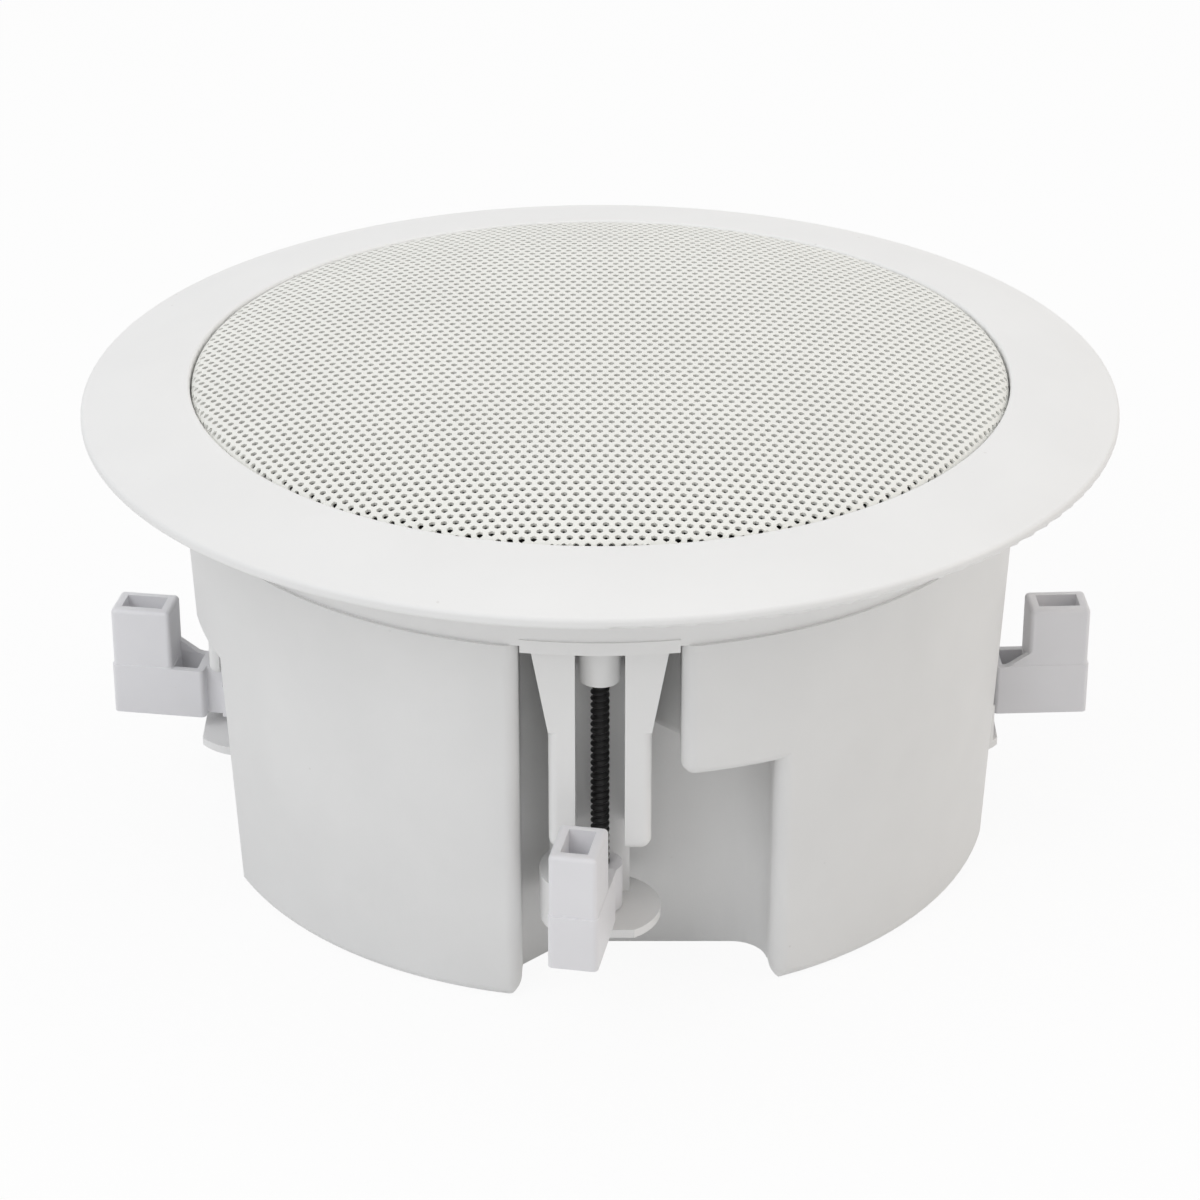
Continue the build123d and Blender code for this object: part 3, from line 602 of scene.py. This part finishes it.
@dataclass
class Grille:
    """Domed perforated sheet with a turned-down edge, and the dust cloth behind it."""

    radius: float = 94.5 * MM
    rim_height: float = 114.5 * MM
    seat_height: float = 109.5 * MM
    rise: float = 7.5 * MM
    dome_power: float = 3.1
    edge_rounding: float = 2.6 * MM
    sheet: float = 0.7 * MM
    pitch: float = 2.55 * MM
    web: float = 0.595 * MM
    plain_edge: float = 1.15 * MM
    holed_lip: float = 2.0 * MM
    cloth_reach: float = 92.8 * MM
    cloth_gap: float = 0.85 * MM
    cloth_thickness: float = 0.5 * MM
    cloth_rings: int = 24
    cloth_steps: int = 96
    dome_points: int = 400
    edge_points: int = 24
    sharp: float = 40.0

    def dome(self, radius: np.ndarray) -> np.ndarray:
        """Height of the sheet's outer face at a radius."""
        return self.rim_height + self.rise * (1 - (radius / self.radius) ** self.dome_power)

    def section(self) -> np.ndarray:
        """The outer face from the middle to the end of the turned-down edge.

        Returns:
            Radius and height of closely spaced points.
        """
        across = np.linspace(0, self.radius, self.dome_points)
        slope = math.atan(self.rise * self.dome_power / self.radius)
        centre = self.radius - self.edge_rounding
        touch = centre + self.edge_rounding * math.sin(slope)
        across = across[across < touch]
        drop = float(self.dome(np.array(touch))) - self.edge_rounding * math.cos(slope)
        angles = np.linspace(slope, math.pi / 2, self.edge_points)
        arc = np.column_stack(
            (centre + self.edge_rounding * np.sin(angles), drop + self.edge_rounding * np.cos(angles))
        )
        lip = np.array([[self.radius, self.seat_height]])
        return np.vstack((np.column_stack((across, self.dome(across))), arc, lip))

    def build_sheet(self) -> bpy.types.Object:
        """Models the perforated sheet.

        Returns:
            The sheet, with every hole cut through it.
        """
        section = self.section()
        along = np.concatenate(([0.0], np.cumsum(np.hypot(*np.diff(section, axis=0).T))))
        reach = along[-2] + self.holed_lip
        piece = self._field(reach)
        self._turn_down(piece, reach, along[-1])
        flat = Bench.points(piece)
        distance = np.hypot(flat[:, 0], flat[:, 1])
        least = MM / 1000
        scale = np.interp(distance, along, section[:, 0]) / np.maximum(distance, least)
        heights = np.interp(distance, along, section[:, 1])
        Bench.move_points(piece, np.column_stack((flat[:, 0] * scale, flat[:, 1] * scale, heights)))
        Bench.modify(piece, "SOLIDIFY", thickness=self.sheet, offset=-1.0)
        Bench.smooth(piece, self.sharp)
        return piece

    def _field(self, reach: float) -> bpy.types.Object:
        """A flat round field of six-sided cells, each with a hole.

        Args:
            reach: Radius of the field.

        Returns:
            The field, in the plane through the origin.
        """
        row = self.pitch * math.sqrt(3) / 2
        pairs = int(reach / row) + 1
        across = 2 * int(reach / self.pitch) + 3
        weld = self.web / 20
        bpy.ops.object.select_all(action="DESELECT")
        bpy.ops.mesh.primitive_circle_add(vertices=6, radius=self.pitch / math.sqrt(3), fill_type="NGON")
        piece = Bench.fresh("perforated_grille")
        with Bench.editing(piece, "FACE"):
            bpy.ops.mesh.select_all(action="SELECT")
            bpy.ops.mesh.inset(thickness=self.web)
            bpy.ops.mesh.delete(type="FACE")
            bpy.ops.mesh.select_all(action="SELECT")
            bpy.ops.mesh.duplicate_move(TRANSFORM_OT_translate={"value": (self.pitch / 2, row, 0)})
            bpy.ops.mesh.select_all(action="SELECT")
            bpy.ops.mesh.remove_doubles(threshold=weld)
            start = (-(across // 2) * self.pitch, -pairs * row, 0)
            bpy.ops.transform.translate(value=start)
        merge = {"use_relative_offset": False, "use_constant_offset": True, "use_merge_vertices": True}
        merge["merge_threshold"] = weld
        Bench.modify(piece, "ARRAY", count=across, constant_offset_displace=(self.pitch, 0, 0), **merge)
        Bench.modify(piece, "ARRAY", count=pairs + 1, constant_offset_displace=(0, 2 * row, 0), **merge)
        centres = self._cell_centres(piece, start, row)
        outside = np.hypot(*centres.T) > reach - self.plain_edge
        with Bench.editing(piece, "FACE"):
            bpy.ops.mesh.select_all(action="DESELECT")
        piece.data.polygons.foreach_set("select", outside)
        with Bench.editing(piece, "FACE"):
            bpy.ops.mesh.delete(type="FACE")
        log.info("grille: %d holes", (~outside).sum() // 6)
        return piece

    def _cell_centres(self, piece: bpy.types.Object, start: tuple, row: float) -> np.ndarray:
        """The middle of the cell that each face belongs to.

        Args:
            piece: The field.
            start: Middle of the first cell.
            row: Distance between rows.

        Returns:
            One row of X and Y for each face.
        """
        middles = np.zeros(3 * len(piece.data.polygons))
        piece.data.polygons.foreach_get("center", middles)
        middles = middles.reshape(-1, 3)[:, :2] - np.array(start[:2])
        best = np.full(len(middles), np.inf)
        centres = np.zeros_like(middles)
        for step in (0, 1):
            line = np.floor(middles[:, 1] / row) + step
            shift = np.where(line % 2 == 1, self.pitch / 2, 0.0)
            column = np.round((middles[:, 0] - shift) / self.pitch) * self.pitch + shift
            spot = np.column_stack((column, line * row))
            gap = np.hypot(*(middles - spot).T)
            nearer = gap < best
            best[nearer], centres[nearer] = gap[nearer], spot[nearer]
        return centres + np.array(start[:2])

    def _turn_down(self, piece: bpy.types.Object, reach: float, end: float) -> None:
        """Rounds off the field's outline and adds the plain strip that is turned down.

        Args:
            piece: The field.
            reach: Radius of the field.
            end: Radius of the strip's end in the flat.
        """
        with Bench.editing(piece, "EDGE"):
            bpy.ops.mesh.select_all(action="DESELECT")
            bpy.ops.mesh.select_non_manifold(
                extend=False, use_wire=False, use_boundary=True, use_multi_face=False, use_verts=False
            )
        places = Bench.points(piece)
        picked = np.zeros(len(places), dtype=bool)
        piece.data.vertices.foreach_get("select", picked)
        distance = np.hypot(places[:, 0], places[:, 1])
        corners = self._outline(piece, picked)
        places[corners, :2] *= (reach / distance[corners])[:, None]
        Bench.move_points(piece, places)
        Bench.pick(piece, corners)
        with Bench.editing(piece, "EDGE"):
            bpy.ops.mesh.extrude_edges_move()
            bpy.ops.transform.resize(value=(end / reach, end / reach, 1), center_override=(0, 0, 0))

    @staticmethod
    def _outline(piece: bpy.types.Object, border: np.ndarray) -> np.ndarray:
        """Which border vertices lie on the field's outline and not on a hole.

        Args:
            piece: The field.
            border: True for each vertex on any border.

        Returns:
            True for each vertex of the outline.
        """
        ends = np.zeros(2 * len(piece.data.edges), dtype=np.int64)
        piece.data.edges.foreach_get("vertices", ends)
        loops: dict[int, list[int]] = {}
        picked = np.zeros(len(piece.data.edges), dtype=bool)
        piece.data.edges.foreach_get("select", picked)
        for first, second in ends.reshape(-1, 2)[picked]:
            loops.setdefault(int(first), []).append(int(second))
            loops.setdefault(int(second), []).append(int(first))
        places = Bench.points(piece)
        start = int(np.argmax(np.where(border, np.hypot(places[:, 0], places[:, 1]), 0)))
        outline = np.zeros(len(border), dtype=bool)
        waiting = [start]
        while waiting:
            vertex = waiting.pop()
            if not outline[vertex]:
                outline[vertex] = True
                waiting.extend(loops[vertex])
        return outline

    def build_cloth(self) -> bpy.types.Object:
        """Models the dust cloth that is glued behind the sheet.

        Returns:
            The cloth.
        """
        across = np.linspace(0, self.cloth_reach, self.cloth_rings)
        heights = self.dome(across) - self.cloth_gap
        section = list(zip(across.tolist(), heights.tolist()))
        piece = Bench.spun("dust_cloth", section, self.cloth_steps)
        Bench.modify(piece, "SOLIDIFY", thickness=self.cloth_thickness, offset=-1.0)
        Bench.smooth(piece, self.sharp)
        return piece


@dataclass
class ClampScrew:
    """Long black screw with a rolled thread, which carries a clamp dog."""

    axis_radius: float = 84.7 * MM
    thread_radius: float = 2.1 * MM
    core_radius: float = 1.62 * MM
    pitch: float = 1.6 * MM
    tip: float = 17.0 * MM
    thread_start: float = 18.4 * MM
    thread_turns: int = 37
    head_seat: float = 106.0 * MM
    head_radius: float = 4.0 * MM
    head_height: float = 2.8 * MM
    crown_share: float = 0.5
    point_share: float = 0.55
    thread_foot: float = 0.44
    thread_crest: float = 0.1
    thread_root: float = 0.1 * MM
    recess: float = 1.5 * MM
    cross_length: float = 1.15
    cross_width: float = 0.24
    crown_points: tuple[float, ...] = (0.0, 0.45, 0.72, 0.9, 1.0)
    turn_steps: int = 24
    thread_steps: int = 16
    sharp: float = 35.0

    def build(self) -> bpy.types.Object:
        """Models the first screw, at the front.

        Returns:
            The screw, in its place.
        """
        top = self.head_seat + self.head_height
        dome = [(share, math.sqrt(1 - share**2)) for share in self.crown_points]
        crown_height = self.head_height * self.crown_share
        crown = [(x * self.head_radius, top - crown_height * (1 - y)) for x, y in dome]
        section = [
            *crown,
            (self.head_radius, self.head_seat),
            (self.thread_radius, self.head_seat),
            (self.thread_radius, self.head_seat - self.pitch),
            (self.core_radius, self.head_seat - 2 * self.pitch),
            (self.core_radius, self.tip + self.pitch),
            (self.core_radius * self.point_share, self.tip),
            (0.0, self.tip),
        ]
        piece = Bench.spun("clamp_screw_front", section, self.turn_steps)
        self._cut_recess(piece, top)
        thread = self._thread()
        Bench.take(piece)
        thread.select_set(True)
        bpy.ops.object.join()
        with Bench.editing(piece):
            bpy.ops.mesh.select_all(action="SELECT")
            bpy.ops.transform.translate(value=(0, -self.axis_radius, 0))
        Bench.smooth(piece, self.sharp)
        return piece

    def _thread(self) -> bpy.types.Object:
        """The thread's ridge, wound up the core.

        Returns:
            A closed helical ridge that is rooted in the core.
        """
        root = self.core_radius - self.thread_root
        half, flat = self.thread_foot * self.pitch, self.thread_crest * self.pitch
        bpy.ops.object.select_all(action="DESELECT")
        bpy.ops.mesh.primitive_plane_add(size=1)
        piece = Bench.fresh("thread")
        corners = np.array(
            [(root, 0, -half), (self.thread_radius, 0, -flat), (root, 0, half), (self.thread_radius, 0, flat)]
        )
        corners[:, 2] += self.thread_start + self.pitch / 2
        Bench.move_points(piece, corners)
        with Bench.editing(piece, "FACE"):
            bpy.ops.mesh.select_all(action="SELECT")
            bpy.ops.mesh.delete(type="ONLY_FACE")
        Bench.modify(
            piece,
            "SCREW",
            screw_offset=self.pitch,
            iterations=self.thread_turns,
            steps=self.thread_steps,
            render_steps=self.thread_steps,
            use_merge_vertices=True,
        )
        with Bench.editing(piece, "EDGE"):
            bpy.ops.mesh.select_all(action="DESELECT")
            bpy.ops.mesh.select_non_manifold(extend=False)
            bpy.ops.mesh.fill_holes(sides=4)
            bpy.ops.mesh.select_all(action="SELECT")
            bpy.ops.mesh.normals_make_consistent(inside=False)
        return piece

    def _cut_recess(self, piece: bpy.types.Object, top: float) -> None:
        """Cuts the cross for the driver's bit into the head.

        Args:
            piece: The turned screw.
            top: Height of the head's top.
        """
        for turn in (0.0, math.pi / 2):
            bpy.ops.object.select_all(action="DESELECT")
            bpy.ops.mesh.primitive_cube_add(size=1, location=(0, 0, top), rotation=(0, 0, turn))
            cutter = Bench.fresh("cross_bit")
            length, width = self.head_radius * self.cross_length, self.head_radius * self.cross_width
            cutter.scale = (length, width, 2 * self.recess)
            bpy.ops.object.transform_apply(location=True, rotation=True, scale=True)
            Bench.modify(piece, "BOOLEAN", object=cutter, operation="DIFFERENCE", solver="EXACT")
            bpy.data.objects.remove(cutter)


@dataclass
class SoftenedNode:
    """A CAD node with the small roundings that a mould leaves on its edges."""

    node: str
    name: str
    rounding: float
    sharp: float = 35.0
    segments: int = 2
    quad_angle: float = 1.0
    seam_height: float = 0.0
    seam_step: float = 0.22 * MM

    def build(self) -> bpy.types.Object:
        """Copies the node's mesh, rounds its edges and marks where the mould's halves met.

        Returns:
            The rounded copy.
        """
        piece = Bench.from_node(self.node, self.name)
        with Bench.editing(piece):
            bpy.ops.mesh.select_all(action="SELECT")
            bpy.ops.mesh.quads_convert_to_tris(quad_method="BEAUTY", ngon_method="BEAUTY")
            bpy.ops.mesh.tris_convert_to_quads(
                face_threshold=math.radians(self.quad_angle), shape_threshold=math.pi
            )
        Bench.modify(
            piece,
            "BEVEL",
            width=self.rounding,
            segments=self.segments,
            limit_method="ANGLE",
            angle_limit=math.radians(self.sharp),
            miter_outer="MITER_ARC",
            use_clamp_overlap=True,
        )
        if self.seam_height:
            self._step_in(piece)
        Bench.smooth(piece, self.sharp)
        return piece

    def _step_in(self, piece: bpy.types.Object) -> None:
        """Draws in everything above the seam by a hair's breadth.

        Args:
            piece: The rounded copy.
        """
        seam = Bench.points(piece)[:, 2].min() + self.seam_height
        with Bench.editing(piece):
            for height in (seam, seam + self.seam_step / 2):
                bpy.ops.mesh.select_all(action="SELECT")
                bpy.ops.mesh.bisect(plane_co=(0, 0, height), plane_no=(0, 0, 1))
        places = Bench.points(piece)
        above = places[:, 2] > seam + self.seam_step / 4
        low, high = places[above].min(axis=0), places[above].max(axis=0)
        narrow = np.sort(high - low)[0]
        share = 1 - 2 * self.seam_step / narrow
        Bench.pick(piece, above)
        with Bench.editing(piece):
            bpy.ops.transform.resize(value=(share, share, 1), center_override=tuple((low + high) / 2))


@dataclass(frozen=True)
class NotchWall:
    """A side wall of the front notch.

    Its place across, the side of it that the can is on, and where its lower edge starts and ends.
    """

    place: float
    side: int
    outer: float
    inner: float


@dataclass
class MouldedCan:
    """The back can, with the lower corners of its notches rounded off."""

    walls: tuple[NotchWall, ...] = (
        NotchWall(-17.5 * MM, -1, -93.0 * MM, -77.5 * MM),
        NotchWall(38.0 * MM, 1, -86.5 * MM, -74.0 * MM),
    )
    rounding: float = 6.0 * MM
    taper: float = 0.1
    margin: float = 4.0 * MM
    shy: float = 0.03 * MM
    lift: float = 0.25 * MM
    weld: float = 0.005 * MM
    round_steps: int = 64
    sharp: float = 30.0

    def build(self) -> bpy.types.Object:
        """Copies the can's mesh and rounds the corners of all four notches.

        Returns:
            The rounded can.
        """
        piece = Bench.from_node("back_can", "moulded_can")
        for wall in self.walls:
            first = self._cutter(wall)
            for quarter in range(4):
                cutter = Bench.copied(first, "corner_cutter", quarter * math.pi / 2)
                Bench.modify(piece, "BOOLEAN", object=cutter, operation="DIFFERENCE", solver="EXACT")
                bpy.data.objects.remove(cutter)
            bpy.data.objects.remove(first)
        with Bench.editing(piece):
            bpy.ops.mesh.select_all(action="SELECT")
            bpy.ops.mesh.remove_doubles(threshold=self.weld)
            bpy.ops.mesh.dissolve_degenerate(threshold=self.weld)
            bpy.ops.mesh.normals_make_consistent(inside=False)
        Bench.smooth(piece, self.sharp)
        return piece

    def _cutter(self, wall: NotchWall) -> bpy.types.Object:
        """What is cut from a corner: a block less a round, which narrows inwards.

        Args:
            wall: The wall at whose lower edge it cuts.

        Returns:
            The cutter for the front notch.
        """
        length = wall.inner - wall.outer
        middle = (wall.inner + wall.outer) / 2
        offset = (self.rounding - self.margin) / 2
        bpy.ops.object.select_all(action="DESELECT")
        bpy.ops.mesh.primitive_cube_add(size=1, location=(wall.place + wall.side * offset, middle, offset))
        block = Bench.fresh("corner_block")
        block.scale = (self.rounding + self.margin, length, self.rounding + self.margin)
        bpy.ops.object.transform_apply(location=True, rotation=True, scale=True)
        bpy.ops.object.select_all(action="DESELECT")
        bpy.ops.mesh.primitive_cylinder_add(
            vertices=self.round_steps,
            radius=self.rounding,
            depth=2 * length,
            location=(wall.place + wall.side * self.rounding, middle, self.rounding),
            rotation=(math.pi / 2, 0, 0),
        )
        core = Bench.fresh("corner_round")
        bpy.ops.object.transform_apply(location=True, rotation=True, scale=True)
        Bench.modify(block, "BOOLEAN", object=core, operation="DIFFERENCE", solver="EXACT")
        bpy.data.objects.remove(core)
        Bench.pick(block, Bench.points(block)[:, 1] > middle)
        with Bench.editing(block):
            bpy.ops.transform.resize(
                value=(self.taper, 1, self.taper), center_override=(wall.place, wall.inner, 0)
            )
            bpy.ops.mesh.select_all(action="SELECT")
            bpy.ops.transform.translate(value=(-wall.side * self.shy, 0, self.lift))
        return block


@dataclass(frozen=True)
class Softbox:
    """A square lamp: where it hangs, its side in metres, its power in watts and its tint."""

    name: str
    place: Place
    size: float
    power: float
    tint: Colour


@dataclass
class Studio:
    """Camera, floor and soft lamps."""

    lens: float = 111.93
    sensor: float = 36.0
    camera_place: Place = (0.0, -0.798, 0.454)
    camera_tilt: float = 63.38
    floor_size: float = 12.0
    floor_tone: float = 0.9
    floor_glow: float = 0.92
    world_light: float = 0.49
    aim_height: float = 0.08
    lamps: tuple[Softbox, ...] = (
        Softbox("key_softbox", (-1.2, -1.3, 1.8), 1.6, 17.8, (0.96, 0.975, 1.0)),
        Softbox("fill_softbox", (1.8, -0.2, 1.1), 1.4, 6.8, (1.0, 0.88, 0.75)),
        Softbox("top_softbox", (0.1, 0.5, 2.2), 1.6, 10.0, (1.0, 1.0, 1.0)),
    )

    def build(self) -> None:
        """Sets up everything round the speaker."""
        bpy.context.scene.view_settings.view_transform = "Standard"
        self._camera()
        self._floor()
        self._world()
        for lamp in self.lamps:
            self._hang(lamp)

    def _camera(self) -> None:
        """Puts the camera where the photograph was taken from."""
        data = bpy.data.cameras.new("camera")
        data.lens, data.sensor_width = self.lens, self.sensor
        camera = bpy.data.objects.new("camera", data)
        camera.location = self.camera_place
        camera.rotation_euler = (math.radians(self.camera_tilt), 0, 0)
        bpy.context.scene.collection.objects.link(camera)
        bpy.context.scene.camera = camera

    def _seen(self, sheet: NodeSheet) -> Signal:
        """1 for rays that the camera sees, straight or in gloss and glass."""
        path = sheet.node("ShaderNodeLightPath", {}, {}, "Is Camera Ray")
        outputs = path.socket.node.outputs
        mirrored = Signal(sheet, outputs["Is Glossy Ray"]).at_least(
            Signal(sheet, outputs["Is Transmission Ray"])
        )
        return path.at_least(mirrored)

    def _floor(self) -> None:
        """Lays the pale floor, which keeps a light shadow."""
        bpy.ops.object.select_all(action="DESELECT")
        bpy.ops.mesh.primitive_plane_add(size=self.floor_size)
        floor = Bench.fresh("floor")
        material = bpy.data.materials.new("pale_floor")
        material.use_nodes = True
        sheet = NodeSheet(material.node_tree)
        tone = (self.floor_tone,) * 3 + (1.0,)
        lit = sheet.node("ShaderNodeBsdfDiffuse", {}, {"Color": tone})
        white = sheet.node("ShaderNodeEmission", {}, {"Color": WHITE, "Strength": 1.0})
        share = self._seen(sheet) * self.floor_glow
        shader = sheet.node("ShaderNodeMixShader", {}, {0: share, 1: lit, 2: white})
        sheet.node("ShaderNodeOutputMaterial", {}, {"Surface": shader})
        floor.data.materials.append(material)

    def _world(self) -> None:
        """Surrounds the scene with even light that looks white."""
        world = bpy.data.worlds.new("studio")
        world.use_nodes = True
        sheet = NodeSheet(world.node_tree)
        strength = self._seen(sheet) * (1 - self.world_light) + self.world_light
        light = sheet.node("ShaderNodeBackground", {}, {"Color": WHITE, "Strength": strength})
        sheet.node("ShaderNodeOutputWorld", {}, {"Surface": light})
        bpy.context.scene.world = world

    def _hang(self, softbox: Softbox) -> None:
        """Hangs a softbox that faces the speaker.

        Args:
            softbox: The lamp to hang.
        """
        data = bpy.data.lights.new(softbox.name, "AREA")
        data.size, data.energy, data.color = softbox.size, softbox.power, softbox.tint
        lamp = bpy.data.objects.new(softbox.name, data)
        lamp.location = softbox.place
        aim = -lamp.location
        aim.z += self.aim_height
        lamp.rotation_euler = aim.to_track_quat("-Z", "Y").to_euler()
        bpy.context.scene.collection.objects.link(lamp)


@dataclass
class Speaker:
    """The whole speaker: its new pieces and the CAD nodes that stay."""

    sides: tuple[str, ...] = ("front", "right", "back", "left")
    dog_rounding: float = 0.45 * MM
    dog_seam: float = 15.2 * MM

    def build(self, wardrobe: Wardrobe) -> None:
        """Makes, dresses and seats every piece.

        Args:
            wardrobe: The finishes.
        """
        for node, slot in CAD_FINISHES.items():
            wardrobe.dress(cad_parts[node], slot)
        self._seat(MouldedCan().build(), "housing", "back_can", Slot.CAN, wardrobe)
        grille = Grille()
        self._seat(grille.build_sheet(), "housing", "grille", Slot.GRILLE, wardrobe)
        cloth = grille.build_cloth()
        self._seat(cloth, "housing", "grille_cloth", Slot.CLOTH, wardrobe)
        first = ClampScrew().build()
        for number, side in enumerate(self.sides, start=1):
            turn = (number - 1) * math.pi / 2
            screw = Bench.copied(first, f"clamp_screw_{side}", turn) if number > 1 else first
            self._seat(screw, f"screw_{number}", f"clamp_screw_{number}", Slot.BLACK_STEEL, wardrobe)
            dog = SoftenedNode(
                f"clamp_dog_{number}", f"clamp_dog_{side}", self.dog_rounding, seam_height=self.dog_seam
            ).build()
            self._seat(dog, f"dog_{number}", f"clamp_dog_{number}", Slot.DOG, wardrobe)

    @staticmethod
    def _seat(piece: bpy.types.Object, body: str, node: str, slot: Slot, wardrobe: Wardrobe) -> None:
        """Ties a finished piece to its body, node and finish.

        Args:
            piece: The finished piece.
            body: The CAD body that it moves with.
            node: The CAD node that it stands for.
            slot: Its finish.
            wardrobe: The finishes.
        """
        wardrobe.dress(piece, slot)
        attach(piece, body)
        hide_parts(node)
        piece.data.calc_loop_triangles()
        log.info("%s: %d triangles, on %s", piece.name, len(piece.data.loop_triangles), body)


def main() -> None:
    """Builds the studio and the speaker, and notes their sizes."""
    logging.basicConfig(level=logging.INFO, format="%(name)s: %(message)s")
    Studio().build()
    Speaker().build(Wardrobe())


if __name__ == "__main__":
    main()
